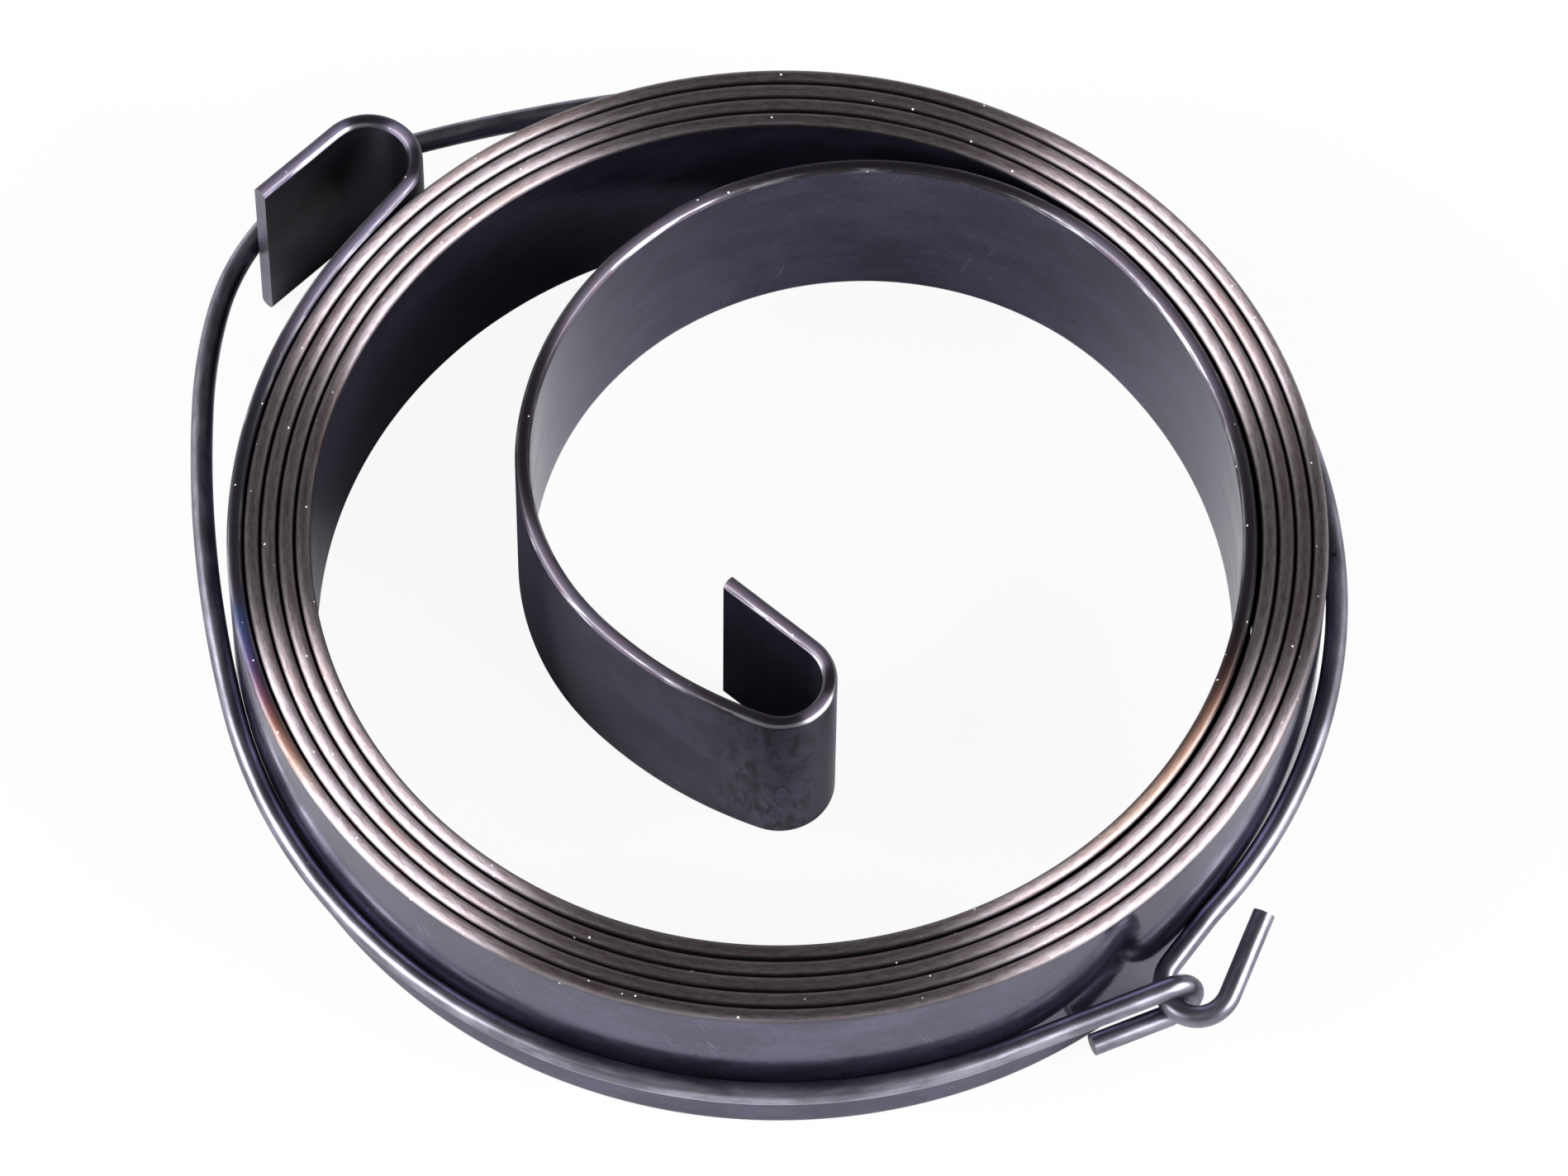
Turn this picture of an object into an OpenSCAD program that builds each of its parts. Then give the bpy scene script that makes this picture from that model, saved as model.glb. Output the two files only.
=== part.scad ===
// Recoil starter spring: a flat steel strip wound in a tight coil, with a free
// inner loop and a folded hook at each end, held closed by one hooked wire.
// Lengths are in millimetres. +Z is the coil axis and the strip stands on z = 0.

/* [Strip] */
// Width of the strip, which is the height of the coil
strip_width = 12; // [9:0.5:16]
// Thickness of the strip
strip_thickness = 0.8; // [0.6:0.05:1]
// Radius that rounds the strip's edges
edge_radius = 0.25; // [0.1:0.05:0.25]

/* [Coil] */
// Outer diameter of the coil, without its hook
coil_diameter = 58.9; // [54:0.1:66]
// Full turns that lie tight against each other
tight_turns = 4; // [2:1:6]
// Air gap between neighbouring turns
turn_gap = 0.11; // [0.08:0.01:0.3]
// Extra gap behind the innermost turn
loop_slack = 0.12; // [0.06:0.02:0.3]

/* [Hooks] */
// Inside radius of the folds at both ends
hook_bend = 2.2; // [1.8:0.1:2.8]
// Fold angle of the outer hook
outer_fold = 172; // [160:1:175]
// Fold angle of the inner hook
inner_fold = 160; // [150:1:170]

/* [Wire] */
// Diameter of the retaining wire
wire_diameter = 1.2; // [1:0.05:1.3]
// Height of the wire's middle above the foot of the coil
wire_height = 4.7; // [4:0.1:6]
// Gap between the wire and the coil where it lies closest
wire_clearance = 0.05; // [0.03:0.01:0.12]

/* [Hidden] */
$fn = 96;

// Coil of half turns: the near and the far halves have two centres a half pitch apart
pitch = strip_thickness + turn_gap;
centre_shift = pitch / 4;
half_turns = 2 * tight_turns + 1;
first_radius = coil_diameter / 2 - strip_thickness / 2 + centre_shift;
last_radius = first_radius - half_turns * pitch / 2;

// Inner end: the lead still follows the coil, then the free loop tightens and runs to its hook
bend_radius = hook_bend + strip_thickness / 2;
lead_start = last_radius - centre_shift - loop_slack;
inner_path = [
    [last_radius - loop_slack - pitch / 4, 41.8],
    [0.738 * last_radius, 132],
    [0.587 * last_radius, 50.9],
    [0.949 * last_radius, 25.2],
    [bend_radius, inner_fold],
    [0, 2.27 * bend_radius]
];

// Outer end, walked backwards from the left of the coil and mirrored there
outer_path = [
    [first_radius, 36.4],
    [0, 1.735 * bend_radius],
    [bend_radius, -outer_fold],
    [0, 2.15 * bend_radius]
];

// Every other step of a path is a hair slimmer and reaches into its two neighbours
joint_step = 0.01;
joint_overlap = 0.05;
$inset = 0;

// Wire: it lies against the near side, swings out round the outer hook and comes back
wire_radius = wire_diameter / 2;
ring_radius = first_radius - pitch / 2 + strip_thickness / 2 + wire_radius + wire_clearance;
hook_reach = 2 * bend_radius + strip_thickness;
leave_angle = 195;
join_angle = 294.2;
dip_angle = 17;
long_path = [
    [ring_radius + 7.05 * hook_reach, -15.27],
    [ring_radius + 0.038 * hook_reach, -11.17],
    [ring_radius - 2.615 * hook_reach, -59.81],
    [ring_radius + 8.94 * hook_reach, -8.25],
    [ring_radius + 1.67 * hook_reach, -20.6],
    [ring_radius + 0.188 * hook_reach, -79.9],
    [ring_radius + 2 * wire_clearance, -39.1],
    [2.5 * wire_diameter, dip_angle, -90],
    [0, 0.136 * ring_radius - wire_diameter],
    [1.52 * wire_diameter, 195.5, 90],
    [0, 3.95 * wire_diameter]
];
short_path = [
    [0, 0.356 * ring_radius - wire_diameter],
    [1.26 * wire_diameter, 180, -92],
    [0, 3.55 * wire_diameter]
];

// Cross-section of the strip, standing on its edge
module strip_section() {
    half = strip_thickness / 2 - $inset;
    flat = strip_thickness / 2 - edge_radius;
    rounding = edge_radius - $inset;
    translate([-flat, $inset])
        square([2 * flat, strip_width - 2 * $inset]);
    translate([-half, edge_radius])
        square([2 * half, strip_width - 2 * edge_radius]);
    for (side = [-flat, flat])
        for (level = [edge_radius, strip_width - edge_radius])
            translate([side, level])
                circle(rounding);
}

module wire_section() {
    circle(wire_radius - $inset);
}

// One step: [radius, angle] bends left, or right if the angle is negative, and [0, length] runs straight
module step_solid(radius, value, overlap) {
    extra = radius == 0 ? overlap : overlap / radius * 180 / PI;
    if (radius == 0)
        translate([0, value + extra, 0])
            rotate([90, 0, 0])
                linear_extrude(value + 2 * extra)
                    children();
    else
        translate([value > 0 ? -radius : radius, 0, 0])
            rotate([0, 0, value > 0 ? -extra : 180 + value - extra])
                rotate_extrude(angle = abs(value) + 2 * extra)
                    translate([radius, 0])
                        children();
}

module to_step_end(radius, value) {
    side = value > 0 ? -radius : radius;
    if (radius == 0)
        translate([0, value, 0])
            children();
    else
        translate([side, 0, 0])
            rotate([0, 0, value])
                translate([-side, 0, 0])
                    children();
}

// Walks a path from the origin along +Y, with an optional roll before each step
module follow(path, slim, index = 0) {
    if (index < len(path)) {
        step = path[index];
        roll = len(step) > 2 ? step[2] : 0;
        $inset = slim ? joint_step : 0;
        rotate([0, roll, 0]) {
            step_solid(step[0], step[1], slim ? joint_overlap : 0)
                children();
            to_step_end(step[0], step[1])
                follow(path, !slim, index + 1)
                    children();
        }
    }
}

// One half turn of the coil; the last is drawn in by its slack
module half_turn(index) {
    near = index % 2 == 0;
    slack = index == half_turns - 1 ? loop_slack / 2 : 0;
    translate([(near ? -centre_shift : centre_shift) - slack, 0, 0])
        rotate([0, 0, near ? 180 : 0])
            rotate_extrude(angle = 180)
                translate([first_radius - (index + 1) * pitch / 2 - slack, 0])
                    strip_section();
}

module spring_strip() {
    color([0.22, 0.21, 0.25]) {
        for (index = [0 : half_turns - 1])
            half_turn(index);
        mirror([1, 0, 0])
            translate([first_radius - centre_shift, 0, 0])
                follow(outer_path, false)
                    strip_section();
        translate([lead_start, 0, 0])
            follow(inner_path, false)
                strip_section();
    }
}

module retaining_wire() {
    color([0.4, 0.4, 0.43])
        translate([-centre_shift, 0, wire_height]) {
            rotate([0, 0, leave_angle])
                rotate_extrude(angle = join_angle - leave_angle)
                    translate([ring_radius, 0])
                        wire_section();
            rotate([0, 0, leave_angle])
                translate([ring_radius, 0, 0])
                    rotate([0, 0, 180])
                        follow(long_path, true)
                            wire_section();
            rotate([0, 0, join_angle])
                translate([ring_radius, 0, 0])
                    follow(short_path, true)
                        wire_section();
        }
}

spring_strip();
retaining_wire();
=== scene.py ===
import math

import bpy
from mathutils import Matrix, Vector


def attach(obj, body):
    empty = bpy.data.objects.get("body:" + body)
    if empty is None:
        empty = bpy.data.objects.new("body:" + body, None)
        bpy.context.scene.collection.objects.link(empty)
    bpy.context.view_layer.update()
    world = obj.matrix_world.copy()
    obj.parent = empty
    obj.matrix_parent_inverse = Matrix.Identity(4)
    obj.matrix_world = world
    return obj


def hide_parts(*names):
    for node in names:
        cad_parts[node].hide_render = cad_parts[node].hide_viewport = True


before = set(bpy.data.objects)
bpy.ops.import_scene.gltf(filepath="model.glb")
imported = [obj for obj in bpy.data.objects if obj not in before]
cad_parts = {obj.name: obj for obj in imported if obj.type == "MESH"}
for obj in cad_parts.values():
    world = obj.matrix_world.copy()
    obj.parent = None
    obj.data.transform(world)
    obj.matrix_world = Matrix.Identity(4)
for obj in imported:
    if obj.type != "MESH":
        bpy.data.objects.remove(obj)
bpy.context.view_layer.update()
print("frame loaded")

mm = 0.001  # the pieces are sized in millimetres, meshes and the studio in metres


def inMetres(sizes):
    return [size * mm for size in sizes]


# node helpers shared by the sweeps and the finishes
def feed(tree, socket, value):
    if isinstance(value, bpy.types.NodeSocket):
        tree.links.new(value, socket)
    else:
        socket.default_value = value


def addNode(tree, kind, inputs=None, **settings):
    node = tree.nodes.new(kind)
    for key, value in settings.items():
        setattr(node, key, value)
    for key, value in (inputs or {}).items():
        feed(tree, node.inputs[key], value)
    return node


def calc(tree, operation, *values, clamp=False):
    node = addNode(tree, "ShaderNodeMath", operation=operation, use_clamp=clamp)
    for socket, value in zip(node.inputs, values):
        feed(tree, socket, value)
    return node.outputs[0]


def rise(tree, value, low, high):  # 0 below low, 1 above high, soft between
    node = addNode(tree, "ShaderNodeMapRange", interpolation_type="SMOOTHSTEP",
                   inputs={"Value": value, "From Min": low, "From Max": high})
    return node.outputs["Result"]


# noise with features of these sizes in mm
def patches(tree, vector, sizes, detail=2.0, roughness=0.5, turn=0.0):
    place = addNode(tree, "ShaderNodeMapping", vector_type="TEXTURE", inputs={
        "Vector": vector, "Scale": inMetres(sizes), "Rotation": (0, math.radians(turn), 0)})
    noise = addNode(tree, "ShaderNodeTexNoise", inputs={
        "Vector": place.outputs[0], "Scale": 1.0, "Detail": detail, "Roughness": roughness})
    return noise.outputs["Fac"]


def spots(tree, vector, cell, size, share):  # round spots, in this share of the cells
    cells = addNode(tree, "ShaderNodeTexVoronoi",
                    inputs={"Vector": vector, "Scale": 1 / (cell * mm)}).outputs
    dot = calc(tree, "SUBTRACT", 1.0, rise(tree, cells["Distance"], 0.4 * size / cell, size / cell))
    chance = addNode(tree, "ShaderNodeSeparateColor", inputs={"Color": cells["Color"]}).outputs["Red"]
    return calc(tree, "MULTIPLY", dot, calc(tree, "LESS_THAN", chance, share))


def between(tree, value, low, high, soft):  # 1 inside the range, with soft ends
    above = rise(tree, value, low - soft, low + soft)
    below = calc(tree, "SUBTRACT", 1.0, rise(tree, value, high - soft, high + soft))
    return calc(tree, "MULTIPLY", above, below)


def blendColor(tree, amount, first, second):
    node = addNode(tree, "ShaderNodeMix", data_type="RGBA")
    for index, value in ((0, amount), (6, first), (7, second)):
        feed(tree, node.inputs[index], value if not isinstance(value, tuple) else (*value, 1))
    return node.outputs[2]


def blendValue(tree, amount, first, second):
    node = addNode(tree, "ShaderNodeMix", data_type="FLOAT")
    for index, value in ((0, amount), (2, first), (3, second)):
        feed(tree, node.inputs[index], value)
    return node.outputs[0]


def ramp(tree, value, stops):
    node = addNode(tree, "ShaderNodeValToRGB", inputs={"Fac": value})
    band = node.color_ramp
    while len(band.elements) < len(stops):
        band.elements.new(0.5)
    for element, (place, color) in zip(band.elements, stops):
        element.position = place
        element.color = (*color, 1)
    return node.outputs["Color"]


def newFinish(name):
    finish = bpy.data.materials.new(name)
    finish.use_nodes = True
    return finish, finish.node_tree, finish.node_tree.nodes["Principled BSDF"]


# a path of arcs and straights, from a start frame that heads along its own +Y
# a step is a radius and degrees, or 0 and a length, with a third number for a roll before it
def walkPath(start, steps, spacing, turn=4.0):
    place = start.copy()
    points = [place.to_translation()]
    for step in steps:
        radius, amount = step[0], step[1]
        if len(step) > 2:
            place = place @ Matrix.Rotation(math.radians(step[2]), 4, "Y")
        if radius == 0:
            count = max(1, round(amount / spacing))
            moves = [Matrix.Translation((0, amount * k / count, 0)) for k in range(1, count + 1)]
        else:
            pivot = Matrix.Translation((-radius if amount > 0 else radius, 0, 0))
            count = max(round(radius * math.radians(abs(amount)) / spacing), round(abs(amount) / turn), 2)
            moves = [pivot @ Matrix.Rotation(math.radians(amount * k / count), 4, "Z") @ pivot.inverted()
                     for k in range(1, count + 1)]
        points += [(place @ move).to_translation() for move in moves]
        place = place @ moves[-1]
    return points


def joinStretches(stretches, nearest=0.001):
    points = []
    for stretchPoints in stretches:
        points += [p for p in stretchPoints if not points or (p - points[-1]).length > nearest]
    return points


def lineObject(name, points, closed=False):
    mesh = bpy.data.meshes.new(name)
    edges = [(k, k + 1) for k in range(len(points) - 1)]
    if closed:
        edges.append((len(points) - 1, 0))
    mesh.from_pydata([p * mm for p in points], edges, [])
    line = bpy.data.objects.new(name, mesh)
    bpy.context.scene.collection.objects.link(line)
    return line


def startTree(name, sockets):
    tree = bpy.data.node_groups.new(name, "GeometryNodeTree")
    tree.is_modifier = True
    for label, kind in [("Path", "NodeSocketGeometry"), *sockets]:
        tree.interface.new_socket(label, in_out="INPUT", socket_type=kind)
    tree.interface.new_socket("Sweep", in_out="OUTPUT", socket_type="NodeSocketGeometry")
    return tree, tree.nodes.new("NodeGroupInput").outputs, tree.nodes.new("NodeGroupOutput").inputs


def keep(tree, geometry, kind, value):
    node = addNode(tree, "GeometryNodeCaptureAttribute", domain="POINT", inputs={"Geometry": geometry})
    node.capture_items.new(kind, "Kept")
    feed(tree, node.inputs["Kept"], value)
    return node.outputs["Geometry"], node.outputs["Kept"]


# sweeps the section along the path and leaves the unrolled place and the cut ends as attributes
def sweepBody(tree, path, section, creaseAngle=50):
    spline = addNode(tree, "GeometryNodeSplineParameter").outputs["Length"]
    path, along = keep(tree, path, "FLOAT", spline)
    section, around = keep(tree, section, "FLOAT", spline)
    section, across = keep(tree, section, "VECTOR", addNode(tree, "GeometryNodeInputPosition").outputs[0])
    body = addNode(tree, "GeometryNodeCurveToMesh",
                   inputs={"Curve": path, "Profile Curve": section, "Fill Caps": True}).outputs[0]
    across = addNode(tree, "ShaderNodeSeparateXYZ", inputs={"Vector": across}).outputs
    unrolled = addNode(tree, "ShaderNodeCombineXYZ",
                       inputs={"X": along, "Y": across["X"], "Z": across["Y"]}).outputs[0]
    flat = addNode(tree, "ShaderNodeCombineXYZ", inputs={"X": along, "Y": around}).outputs[0]
    corners = addNode(tree, "GeometryNodeInputMeshFaceNeighbors").outputs["Vertex Count"]
    isCap = calc(tree, "GREATER_THAN", corners, 4)  # only the two end caps have more than four
    for name, kind, domain, value in (("unrolled", "FLOAT_VECTOR", "POINT", unrolled),
                                      ("cutEnd", "FLOAT", "FACE", isCap),
                                      ("UVMap", "FLOAT2", "CORNER", flat)):
        body = addNode(tree, "GeometryNodeStoreNamedAttribute", data_type=kind, domain=domain,
                       inputs={"Geometry": body, "Name": name, "Value": value}).outputs[0]
    angle = addNode(tree, "GeometryNodeInputMeshEdgeAngle").outputs["Unsigned Angle"]
    isCrease = calc(tree, "GREATER_THAN", angle, math.radians(creaseAngle))
    body = addNode(tree, "GeometryNodeSetShadeSmooth", domain="FACE",
                   inputs={"Geometry": body, "Shade Smooth": True}).outputs[0]
    body = addNode(tree, "GeometryNodeSetShadeSmooth", domain="EDGE",
                   inputs={"Geometry": body, "Selection": isCrease, "Shade Smooth": False}).outputs[0]
    body = addNode(tree, "GeometryNodeRealizeInstances", inputs={"Geometry": body}).outputs[0]
    return body, across


def paint(tree, body, finish, where=True):
    return addNode(tree, "GeometryNodeSetMaterial",
                   inputs={"Geometry": body, "Selection": where, "Material": finish}).outputs[0]


def sweepPiece(name, line, tree, values):
    sweep = line.modifiers.new("sweep", "NODES")
    sweep.node_group = tree
    for item in tree.interface.items_tree:
        if item.in_out == "INPUT" and item.name in values:
            sweep[item.identifier] = values[item.name]
    bpy.context.view_layer.update()
    built = line.evaluated_get(bpy.context.evaluated_depsgraph_get())
    mesh = bpy.data.meshes.new_from_object(built)
    bpy.data.objects.remove(line)
    piece = bpy.data.objects.new(name, mesh)
    bpy.context.scene.collection.objects.link(piece)
    print(name, "has", len(mesh.polygons), "faces")
    return piece


# the wound strip with its free loop and hooks
strip = {
    "width": 12.0,
    "thickness": 0.8,
    "edgeCrown": 0.35,
    "edgeSegments": 12,
    "edgeMargin": 0.15,
    "edgeFinishLift": 0.01,
    "coilDiameter": 58.9,
    "tightTurns": 4,
    "turnGap": 0.11,
    "loopSlack": 0.12,
    "hookBend": 2.2,
    "outerFold": 172,
    "innerFold": 160,
    "spacing": 0.5,
    "heightWander": 0.03,
    "wanderLength": 21.0,
    "seed": 4,
}


def coilSizes(s):
    pitch = s["thickness"] + s["turnGap"]
    shift = pitch / 4
    halfTurns = 2 * s["tightTurns"] + 1
    first = s["coilDiameter"] / 2 - s["thickness"] / 2 + shift
    last = first - halfTurns * pitch / 2
    return pitch, shift, halfTurns, first, last


def stripPath(s):
    pitch, shift, halfTurns, first, last = coilSizes(s)
    bend = s["hookBend"] + s["thickness"] / 2
    outer = walkPath(Matrix.Translation((first - shift, 0, 0)), [
        (first, 36.4), (0, 1.735 * bend), (bend, -s["outerFold"]), (0, 2.15 * bend)], s["spacing"])
    outer = [Vector((-p.x, p.y, 0)) for p in reversed(outer)]
    stretches = [outer]
    for index in range(halfTurns):  # near and far halves have two centres
        near = index % 2 == 0
        slack = s["loopSlack"] / 2 if index == halfTurns - 1 else 0
        radius = first - (index + 1) * pitch / 2 - slack
        start = Matrix.Translation(((-shift if near else shift) - slack, 0, 0))
        start = start @ Matrix.Rotation(math.pi if near else 0, 4, "Z") @ Matrix.Translation((radius, 0, 0))
        stretches.append(walkPath(start, [(radius, 180)], s["spacing"]))
    lead = last - shift - s["loopSlack"]
    stretches.append(walkPath(Matrix.Translation((lead, 0, 0)), [
        (last - s["loopSlack"] - shift, 41.8), (0.738 * last, 132), (0.587 * last, 50.9),
        (0.949 * last, 25.2), (bend, s["innerFold"]), (0, 2.27 * bend)], s["spacing"]))
    return [p + Vector((0, 0, s["width"] / 2)) for p in joinStretches(stretches)]


def stripSection(s):  # half ellipses for edges, and a point on each face beside them
    half, crown = s["thickness"] / 2, s["edgeCrown"]
    shoulder = s["width"] / 2 - crown
    points = []
    for end in (1, -1):
        points.append(Vector((end * half, end * (shoulder - s["edgeMargin"]), 0)))
        for k in range(s["edgeSegments"] + 1):
            a = math.pi * k / s["edgeSegments"]
            points.append(Vector((end * half * math.cos(a), end * (shoulder + crown * math.sin(a)), 0)))
        points.append(Vector((-end * half, end * (shoulder - s["edgeMargin"]), 0)))
    return points


def stripTree():
    tree, given, output = startTree("stripSweep", [
        ("Section", "NodeSocketObject"), ("Height Wander", "NodeSocketFloat"),
        ("Wander Length", "NodeSocketFloat"), ("Seed", "NodeSocketInt"), ("Shoulder", "NodeSocketFloat"),
        ("Face Finish", "NodeSocketMaterial"), ("Edge Finish", "NodeSocketMaterial")])
    path = addNode(tree, "GeometryNodeMeshToCurve", inputs={"Mesh": given["Path"]}).outputs[0]
    length = addNode(tree, "GeometryNodeSplineParameter").outputs["Length"]
    wave = addNode(tree, "ShaderNodeTexNoise", noise_dimensions="2D", inputs={"Scale": 1.0, "Detail": 1.0})
    place = addNode(tree, "ShaderNodeCombineXYZ",
                    inputs={"X": calc(tree, "DIVIDE", length, given["Wander Length"]), "Y": given["Seed"]})
    feed(tree, wave.inputs["Vector"], place.outputs[0])
    lift = calc(tree, "MULTIPLY", calc(tree, "SUBTRACT", wave.outputs["Fac"], 0.5), given["Height Wander"])
    offset = addNode(tree, "ShaderNodeCombineXYZ", inputs={"Z": lift}).outputs[0]
    path = addNode(tree, "GeometryNodeSetPosition", inputs={"Geometry": path, "Offset": offset}).outputs[0]
    path = addNode(tree, "GeometryNodeSetCurveNormal", mode="Z_UP", inputs={"Curve": path}).outputs[0]
    shape = addNode(tree, "GeometryNodeObjectInfo", inputs={"Object": given["Section"]}).outputs["Geometry"]
    section = addNode(tree, "GeometryNodeMeshToCurve", inputs={"Mesh": shape}).outputs[0]
    body, across = sweepBody(tree, path, section)
    body = paint(tree, body, given["Face Finish"])
    onEdge = calc(tree, "GREATER_THAN", calc(tree, "ABSOLUTE", across["Y"]), given["Shoulder"])
    feed(tree, output["Sweep"], paint(tree, body, given["Edge Finish"], onEdge))
    return tree


# the wire that holds the coil closed
wire = {
    "diameter": 1.2,
    "height": 4.7,
    "clearance": 0.01,
    "leaveAngle": 195,
    "joinAngle": 294.2,
    "dipAngle": 17,
    "ringSegments": 20,
    "endCut": 0.25,
    "endTaper": 0.8,
    "spacing": 0.45,
}


def wirePath(w, s):
    pitch, shift, _, first, _ = coilSizes(s)
    d = w["diameter"]
    ring = first - pitch / 2 + s["thickness"] / 2 + d / 2 + w["clearance"]
    reach = 2 * s["hookBend"] + 2 * s["thickness"]
    middle = Matrix.Translation((-shift, 0, w["height"]))

    def onRing(angle):
        return middle @ Matrix.Rotation(math.radians(angle), 4, "Z") @ Matrix.Translation((ring, 0, 0))

    longWay = walkPath(onRing(w["leaveAngle"]) @ Matrix.Rotation(math.pi, 4, "Z"), [
        (ring + 7.05 * reach, -15.27), (ring + 0.038 * reach, -11.17), (ring - 2.615 * reach, -59.81),
        (ring + 8.94 * reach, -8.25), (ring + 1.67 * reach, -20.6), (ring + 0.188 * reach, -79.9),
        (ring + 2 * w["clearance"], -39.1), (2.5 * d, w["dipAngle"], -90), (0, 0.136 * ring - d),
        (1.52 * d, 195.5, 90), (0, 3.95 * d)], w["spacing"])
    hug = walkPath(onRing(w["leaveAngle"]), [(ring, w["joinAngle"] - w["leaveAngle"])], w["spacing"])
    shortWay = walkPath(onRing(w["joinAngle"]), [
        (0, 0.356 * ring - d), (1.26 * d, 180, -92), (0, 3.55 * d)], w["spacing"])
    return joinStretches([list(reversed(longWay)), hug, shortWay])


def wireTree():
    tree, given, output = startTree("wireSweep", [
        ("Wire Radius", "NodeSocketFloat"), ("Ring Segments", "NodeSocketInt"),
        ("End Cut", "NodeSocketFloat"), ("End Taper", "NodeSocketFloat"), ("Finish", "NodeSocketMaterial")])
    path = addNode(tree, "GeometryNodeMeshToCurve", inputs={"Mesh": given["Path"]}).outputs[0]
    length = addNode(tree, "GeometryNodeSplineParameter").outputs["Length"]
    total = addNode(tree, "GeometryNodeSplineLength").outputs["Length"]
    toEnd = calc(tree, "MINIMUM", length, calc(tree, "SUBTRACT", total, length))
    taper = addNode(tree, "ShaderNodeMapRange", inputs={
        "Value": toEnd, "From Min": 0.0, "From Max": given["End Cut"],
        "To Min": given["End Taper"], "To Max": 1.0}).outputs[0]
    path = addNode(tree, "GeometryNodeSetCurveRadius", inputs={"Curve": path, "Radius": taper}).outputs[0]
    ring = addNode(tree, "GeometryNodeCurvePrimitiveCircle",
                   inputs={"Resolution": given["Ring Segments"], "Radius": given["Wire Radius"]}).outputs[0]
    body, _ = sweepBody(tree, path, ring)
    feed(tree, output["Sweep"], paint(tree, body, given["Finish"]))
    return tree


# dark tempered steel: glossy faces, pale ground edges, heat colours where the soft ends begin
stripLook = {
    "faceDark": (0.053, 0.049, 0.082),
    "faceLight": (0.085, 0.079, 0.133),
    # painted shade: the outer hook's faces are darkened to stand for the dark inside of the hook
    "faceHookShade": (0.03, 0.028, 0.042),
    "faceRoughness": (0.08, 0.2),
    "faceMetal": 0.89,
    "mottleSize": (5, 2, 2.4),
    "streakSize": (17, 1.1, 0.38),
    "grainSize": (0.3, 0.3, 0.22),
    "hookShadeSpan": (19.0, 27.0),
    "endDullness": 0.2,
    "pit": (0.02, 0.02, 0.028),
    "pitSpots": (1.9, 0.16, 0.3),  # cell, spot, share of the cells
    "scuff": (0.3, 0.29, 0.36),
    "scuffAmount": 0.5,
    "scuffSize": (0.16, 3, 2.6),
    "scuffTurn": 24,
    "wornSize": (11, 9, 7),
    "bendFromEnd": (10.0, 15.5),
    "bendSoftness": 2.0,
    "bendDullness": 0.12,
    "crackSize": (0.6, 1.6, 1.5),
    "crackAmount": 0.95,
    "cutSteel": (0.18, 0.175, 0.22),
    "edgeSteel": (0.55, 0.487, 0.532),
    "edgeRust": (0.46, 0.37, 0.375),
    "edgeBrown": (0.14, 0.058, 0.066),
    # dark edge corners: dark oxide, and painted shade for the shaded gaps between turns
    "edgeCornerShade": (0.05, 0.045, 0.055),
    "edgeRoughness": (0.41, 0.49),
    "rustSize": (9, 0.7, 0.7),
    "groundSize": (0.7, 0.11, 0.11),
    "brownAmount": 0.55,
    "cornerShadeFrom": (0.31, 0.4),
    "cornerShadeAmount": 0.85,
    # bright corner lines: rubbed metal and a painted highlight
    "burrHighlight": (0.8, 0.79, 0.85),
    "burrHighlightSize": (4.5, 0.5, 0.5),
    "burrHighlightBand": (0.26, 0.385),
    "burrHighlightSoftness": 0.03,
    "burrHighlightAmount": (0.2, 0.85),
    "dust": (0.85, 0.84, 0.86),
    "dustSpots": (0.8, 0.085, 0.55),
    "outerSoft": (38.0, 46.0),
    "innerSoft": (96.0, 106.0),
    "outerTint": (40.3, 55.5),
    "outerColors": [(0.0, (0.13, 0.13, 0.2)), (0.05, (0.1, 0.18, 0.48)), (0.14, (0.095, 0.125, 0.38)),
                    (0.27, (0.08, 0.055, 0.17)), (0.45, (0.12, 0.052, 0.085)), (0.62, (0.18, 0.075, 0.055)),
                    (0.8, (0.32, 0.2, 0.155)), (0.93, (0.46, 0.38, 0.35))],
    "innerTint": (101.0, 127.0),
    "innerColors": [(0.0, (0.09, 0.09, 0.13)), (0.025, (0.05, 0.04, 0.05)), (0.09, (0.12, 0.06, 0.05)),
                    (0.2, (0.24, 0.135, 0.095)), (0.42, (0.38, 0.25, 0.19)), (0.7, (0.48, 0.38, 0.34))],
}


def stripCoords(tree):
    unrolled = addNode(tree, "ShaderNodeAttribute", attribute_name="unrolled").outputs["Vector"]
    return unrolled, addNode(tree, "ShaderNodeSeparateXYZ", inputs={"Vector": unrolled}).outputs


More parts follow.
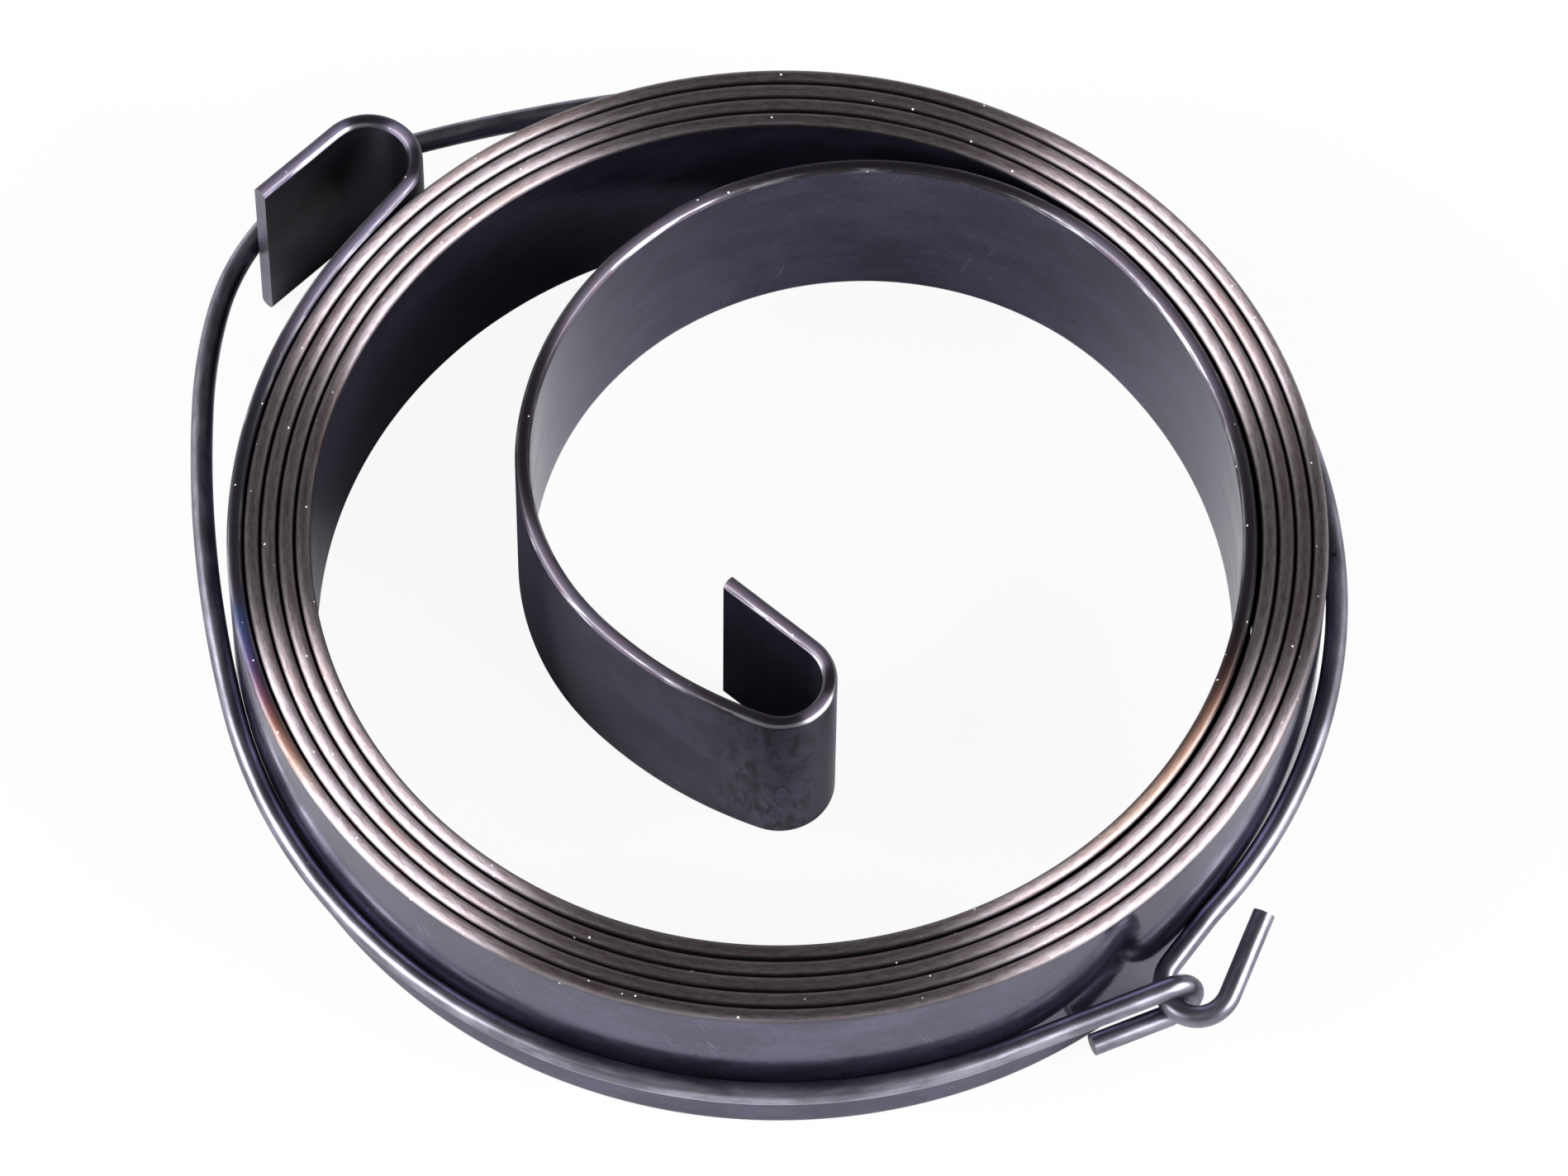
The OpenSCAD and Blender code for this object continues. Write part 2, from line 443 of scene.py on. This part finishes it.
def faceFinish(look, totalLength):
    finish, tree, shader = newFinish("stripFace")
    unrolled, parts = stripCoords(tree)
    mottle = patches(tree, unrolled, look["mottleSize"], 5, 0.62)
    streak = patches(tree, unrolled, look["streakSize"], 3, 0.6)
    grain = patches(tree, unrolled, look["grainSize"], 3, 0.7)
    speckle = calc(tree, "MULTIPLY_ADD", grain, 2.0, -1.0)
    tone = calc(tree, "ADD", rise(tree, mottle, 0.35, 0.7), speckle, clamp=True)
    color = blendColor(tree, tone, look["faceDark"], look["faceLight"])
    # thin scuffs across the strip, in a few places only
    worn = rise(tree, patches(tree, unrolled, look["wornSize"]), 0.53, 0.65)
    scuff = rise(tree, patches(tree, unrolled, look["scuffSize"], 2, 0.5, look["scuffTurn"]), 0.64, 0.74)
    scuff = calc(tree, "MULTIPLY", calc(tree, "MULTIPLY", scuff, worn), look["scuffAmount"])
    color = blendColor(tree, scuff, color, look["scuff"])
    # the scale is broken where the strip is bent to the inner hook
    fromEnd = calc(tree, "SUBTRACT", totalLength, parts["X"])
    bent = between(tree, fromEnd, *inMetres(look["bendFromEnd"]), look["bendSoftness"] * mm)
    cracks = rise(tree, patches(tree, unrolled, look["crackSize"], 6, 0.7), 0.48, 0.6)
    broken = calc(tree, "MULTIPLY", calc(tree, "MULTIPLY", bent, cracks), look["crackAmount"])
    color = blendColor(tree, broken, color, look["pit"])
    color = blendColor(tree, spots(tree, unrolled, *look["pitSpots"]), color, look["pit"])
    # painted shade over the outer hook, fading out along the strip; the same mask also dulls the faces
    # there
    paintedHookShade = calc(tree, "SUBTRACT", 1.0, rise(tree, parts["X"], *inMetres(look["hookShadeSpan"])))
    color = blendColor(tree, paintedHookShade, color, look["faceHookShade"])
    cutEnd = addNode(tree, "ShaderNodeAttribute", attribute_name="cutEnd").outputs["Fac"]
    color = blendColor(tree, cutEnd, color, look["cutSteel"])
    feed(tree, shader.inputs["Base Color"], color)
    dull = blendValue(tree, rise(tree, mottle, 0.3, 0.7), *look["faceRoughness"])
    dull = calc(tree, "ADD", dull, calc(tree, "MULTIPLY", bent, look["bendDullness"]))
    dull = calc(tree, "ADD", dull, calc(tree, "MULTIPLY", paintedHookShade, look["endDullness"]))
    feed(tree, shader.inputs["Roughness"], dull)
    shader.inputs["Metallic"].default_value = look["faceMetal"]
    bump = addNode(tree, "ShaderNodeBump",
                   inputs={"Height": streak, "Strength": 0.1, "Distance": 0.04 * mm})
    feed(tree, shader.inputs["Normal"], bump.outputs["Normal"])
    return finish


def edgeFinish(look, totalLength):
    finish, tree, shader = newFinish("stripEdge")
    unrolled, parts = stripCoords(tree)
    fromEnd = calc(tree, "SUBTRACT", totalLength, parts["X"])
    # each tint runs from the soft end, at 0, to the hard middle
    heats = [rise(tree, distance, *inMetres(look[name + "Tint"]))
             for distance, name in ((parts["X"], "outer"), (fromEnd, "inner"))]
    colors = [ramp(tree, heat, [*look[name + "Colors"], (1.0, look["edgeSteel"])])
              for heat, name in zip(heats, ("outer", "inner"))]
    color = blendColor(tree, calc(tree, "LESS_THAN", fromEnd, parts["X"]), *colors)
    pastEnds = calc(tree, "MINIMUM", rise(tree, parts["X"], *inMetres(look["outerSoft"])),
                    rise(tree, fromEnd, *inMetres(look["innerSoft"])))
    soft = calc(tree, "SUBTRACT", 1.0, pastEnds)
    rust = rise(tree, patches(tree, unrolled, look["rustSize"], 4, 0.65), 0.46, 0.62)
    hard = rise(tree, calc(tree, "MINIMUM", *heats), 0.6, 1.0)
    color = blendColor(tree, calc(tree, "MULTIPLY", rust, hard), color, look["edgeRust"])
    # fine brown marks left by grinding
    ground = patches(tree, unrolled, look["groundSize"], 3, 0.7)
    marked = blendColor(tree, look["brownAmount"], color, look["edgeBrown"])
    color = blendColor(tree, rise(tree, ground, 0.3, 0.66), marked, color)
    offCentre = calc(tree, "ABSOLUTE", parts["Y"])
    # the edge corners beside the gaps between turns are darkened, not on the soft ends: dark oxide and
    # painted shade
    cornerShade = calc(tree, "MULTIPLY", rise(tree, offCentre, *inMetres(look["cornerShadeFrom"])),
                  blendValue(tree, soft, look["cornerShadeAmount"], 0.0))
    color = blendColor(tree, cornerShade, color, look["edgeCornerShade"])
    # bright lines along the corners, mostly on the soft ends: rubbed metal and a painted highlight
    rubbedHighlight = rise(tree, patches(tree, unrolled, look["burrHighlightSize"], 3, 0.6), 0.46, 0.6)
    onBand = between(tree, offCentre, *inMetres(look["burrHighlightBand"]), look["burrHighlightSoftness"] * mm)
    rubbedHighlight = calc(tree, "MULTIPLY", rubbedHighlight, onBand)
    rubbedHighlight = calc(tree, "MULTIPLY", rubbedHighlight, blendValue(tree, soft, *look["burrHighlightAmount"]))
    color = blendColor(tree, rubbedHighlight, color, look["burrHighlight"])
    dust = spots(tree, unrolled, *look["dustSpots"])
    color = blendColor(tree, dust, color, look["dust"])
    feed(tree, shader.inputs["Base Color"], color)
    feed(tree, shader.inputs["Roughness"], blendValue(tree, ground, *look["edgeRoughness"]))
    feed(tree, shader.inputs["Metallic"], calc(tree, "SUBTRACT", 1.0, dust))
    shader.inputs["Anisotropic"].default_value = 1.0  # ground along the strip
    shader.inputs["Anisotropic Rotation"].default_value = 0.25
    shader.inputs["Coat Weight"].default_value = 0.45  # a film of oil
    shader.inputs["Coat Roughness"].default_value = 0.3
    shader.inputs["Coat IOR"].default_value = 1.7
    tangent = addNode(tree, "ShaderNodeTangent", direction_type="UV_MAP", uv_map="UVMap")
    feed(tree, shader.inputs["Tangent"], tangent.outputs[0])
    return finish


# drawn wire, pale grey and satin, with lengthwise draw marks and small nicks
wireLook = {
    "dark": (0.15, 0.145, 0.178),
    "light": (0.32, 0.31, 0.372),
    "nick": (0.04, 0.038, 0.046),
    "chip": (0.75, 0.74, 0.78),
    "roughness": (0.3, 0.42),
    "metal": 0.97,
    "drawSize": (11, 0.22, 0.22),
    "drawAmount": 0.3,
    "patchSize": (3.2, 0.9, 0.9),
    "nickSpots": (2.3, 0.2, 0.3),
    "chipSpots": (1.3, 0.09, 0.3),
}


def wireFinish(look):
    finish, tree, shader = newFinish("drawnWire")
    unrolled = addNode(tree, "ShaderNodeAttribute", attribute_name="unrolled").outputs["Vector"]
    draw = patches(tree, unrolled, look["drawSize"], 3, 0.6)
    patch = patches(tree, unrolled, look["patchSize"], 4, 0.6)
    color = blendColor(tree, rise(tree, patch, 0.35, 0.7), look["dark"], look["light"])
    drawn = blendColor(tree, look["drawAmount"], color, look["nick"])
    color = blendColor(tree, rise(tree, draw, 0.55, 0.75), color, drawn)
    nick = spots(tree, unrolled, *look["nickSpots"])
    color = blendColor(tree, nick, color, look["nick"])
    color = blendColor(tree, spots(tree, unrolled, *look["chipSpots"]), color, look["chip"])
    feed(tree, shader.inputs["Base Color"], color)
    feed(tree, shader.inputs["Roughness"], blendValue(tree, draw, *look["roughness"]))
    shader.inputs["Metallic"].default_value = look["metal"]
    height = calc(tree, "SUBTRACT", draw, nick)
    bump = addNode(tree, "ShaderNodeBump",
                   inputs={"Height": height, "Strength": 0.2, "Distance": 0.04 * mm})
    feed(tree, shader.inputs["Normal"], bump.outputs["Normal"])
    return finish


# spring strip
stripPoints = stripPath(strip)
stripLength = sum((b - a).length for a, b in zip(stripPoints, stripPoints[1:])) * mm
print("strip length", round(stripLength, 4), "m in", len(stripPoints), "points")
section = lineObject("stripSection", stripSection(strip), closed=True)
springStrip = sweepPiece("springStrip", lineObject("stripPath", stripPoints), stripTree(), {
    "Section": section,
    "Height Wander": strip["heightWander"] * mm,
    "Wander Length": strip["wanderLength"] * mm,
    "Seed": strip["seed"],
    "Shoulder": (strip["width"] / 2 - strip["edgeCrown"] + strip["edgeFinishLift"]) * mm,
    "Face Finish": faceFinish(stripLook, stripLength),
    "Edge Finish": edgeFinish(stripLook, stripLength)})
bpy.data.objects.remove(section)
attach(springStrip, "root")
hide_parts("spring_strip")

# retaining wire
retainingWire = sweepPiece("retainingWire", lineObject("wirePath", wirePath(wire, strip)), wireTree(), {
    "Wire Radius": wire["diameter"] / 2 * mm,
    "Ring Segments": wire["ringSegments"],
    "End Cut": wire["endCut"] * mm,
    "End Taper": wire["endTaper"],
    "Finish": wireFinish(wireLook)})
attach(retainingWire, "root")
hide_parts("retaining_wire")

# pale floor that curves up to a wall far behind everything
studio = {
    "floorRadius": 1.6,
    "wallCurve": 0.4,
    "wallHeight": 0.6,
    "floorSides": 72,
    "paper": (0.74, 0.74, 0.75),
    "seenGlow": 0.93,
    "mirroredGlow": 0.95,
    "glowFrom": (0.9, 1.7),
    "lampPower": 6.5,
    "lampSize": (0.54, 0.26),
    "lampSpot": (0.512, -0.152, 0.309),
    "lampTurn": -3.5,
    "worldLevel": 0.088,
}


def studioFloor(s):
    curve, around = s["wallCurve"], s["floorSides"]
    rings = [(s["floorRadius"], 0.0)]
    rings += [(s["floorRadius"] + curve * math.sin(a), curve - curve * math.cos(a))
              for a in (math.radians(10 * k) for k in range(1, 10))]
    rings.append((s["floorRadius"] + curve, s["wallHeight"]))
    vertices, faces = [(0, 0, 0)], []
    for radius, height in rings:
        for k in range(around):
            a = math.tau * k / around
            vertices.append((radius * math.cos(a), radius * math.sin(a), height))
    for k in range(around):
        faces.append((0, 1 + k, 1 + (k + 1) % around))
    for level in range(len(rings) - 1):
        low, high = 1 + level * around, 1 + (level + 1) * around
        for k in range(around):
            after = (k + 1) % around
            faces.append((low + k, high + k, high + after, low + after))
    mesh = bpy.data.meshes.new("studioFloor")
    mesh.from_pydata(vertices, [], faces)
    mesh.polygons.foreach_set("use_smooth", [True] * len(faces))
    floor = bpy.data.objects.new("studioFloor", mesh)
    bpy.context.scene.collection.objects.link(floor)
    return floor


def paperFinish(s):
    finish, tree, shader = newFinish("whitePaper")
    shader.inputs["Base Color"].default_value = (*s["paper"], 1)
    shader.inputs["Roughness"].default_value = 0.9
    shader.inputs["Specular IOR Level"].default_value = 0.1
    rays = addNode(tree, "ShaderNodeLightPath").outputs
    seen = calc(tree, "MAXIMUM", rays["Is Camera Ray"], rays["Is Transmission Ray"])
    seen = calc(tree, "MULTIPLY", seen, s["seenGlow"])
    # only the far wall is white in reflections
    place = addNode(tree, "ShaderNodeTexCoord").outputs["Object"]
    away = addNode(tree, "ShaderNodeVectorMath", operation="LENGTH", inputs={0: place}).outputs["Value"]
    mirrored = calc(tree, "MULTIPLY", rise(tree, away, *s["glowFrom"]), s["mirroredGlow"])
    seen = calc(tree, "MAXIMUM", seen, calc(tree, "MULTIPLY", rays["Is Glossy Ray"], mirrored))
    glow = addNode(tree, "ShaderNodeEmission", inputs={"Color": (1, 1, 1, 1), "Strength": 1.0})
    mix = addNode(tree, "ShaderNodeMixShader", inputs={0: seen})
    tree.links.new(shader.outputs[0], mix.inputs[1])
    tree.links.new(glow.outputs[0], mix.inputs[2])
    tree.links.new(mix.outputs[0], tree.nodes["Material Output"].inputs["Surface"])
    return finish


floor = studioFloor(studio)
floor.data.materials.append(paperFinish(studio))


def softLamp(name, side, s):  # a long level soft box beside the coil
    lamp = bpy.data.lights.new(name, "AREA")
    lamp.shape = "RECTANGLE"
    lamp.size, lamp.size_y = s["lampSize"]
    lamp.energy = s["lampPower"]
    spot = Vector(s["lampSpot"]) * Vector((side, 1, 1))
    spot = Matrix.Rotation(math.radians(s["lampTurn"]), 3, "Z") @ spot
    lampObject = bpy.data.objects.new(name, lamp)
    lampObject.matrix_world = Matrix.Translation(spot) @ spot.to_track_quat("Z", "Y").to_matrix().to_4x4()
    lampObject.visible_camera = False
    bpy.context.scene.collection.objects.link(lampObject)


softLamp("lampRight", 1, studio)
softLamp("lampLeft", -1, studio)

world = bpy.data.worlds.new("studioRoom")
world.use_nodes = True
world.node_tree.nodes["Background"].inputs["Color"].default_value = (1, 1, 1, 1)
world.node_tree.nodes["Background"].inputs["Strength"].default_value = studio["worldLevel"]
bpy.context.scene.world = world
bpy.context.scene.view_settings.view_transform = "Standard"
print("studio ready")

# the photograph's view
view = {
    "target": (0.1454 * mm, 3.0266 * mm, 0),
    "distance": 532.936 * mm,
    "elevation": 60.8365,
    "roll": 0.8883,
    "lens": 225.66,
}


def placeCamera(v):
    camera = bpy.data.cameras.new("camera")
    camera.lens = v["lens"]
    camera.sensor_width = 36
    camera.sensor_fit = "HORIZONTAL"
    camera.clip_start = 0.01
    camera.clip_end = 20
    pitch = Matrix.Rotation(math.radians(90 - v["elevation"]), 4, "X")
    roll = Matrix.Rotation(math.radians(v["roll"]), 4, "Z")
    cameraObject = bpy.data.objects.new("camera", camera)
    cameraObject.matrix_world = (Matrix.Translation(v["target"]) @ pitch
                                 @ Matrix.Translation((0, 0, v["distance"])) @ roll)
    bpy.context.scene.collection.objects.link(cameraObject)
    bpy.context.scene.camera = cameraObject


placeCamera(view)
print("camera placed")
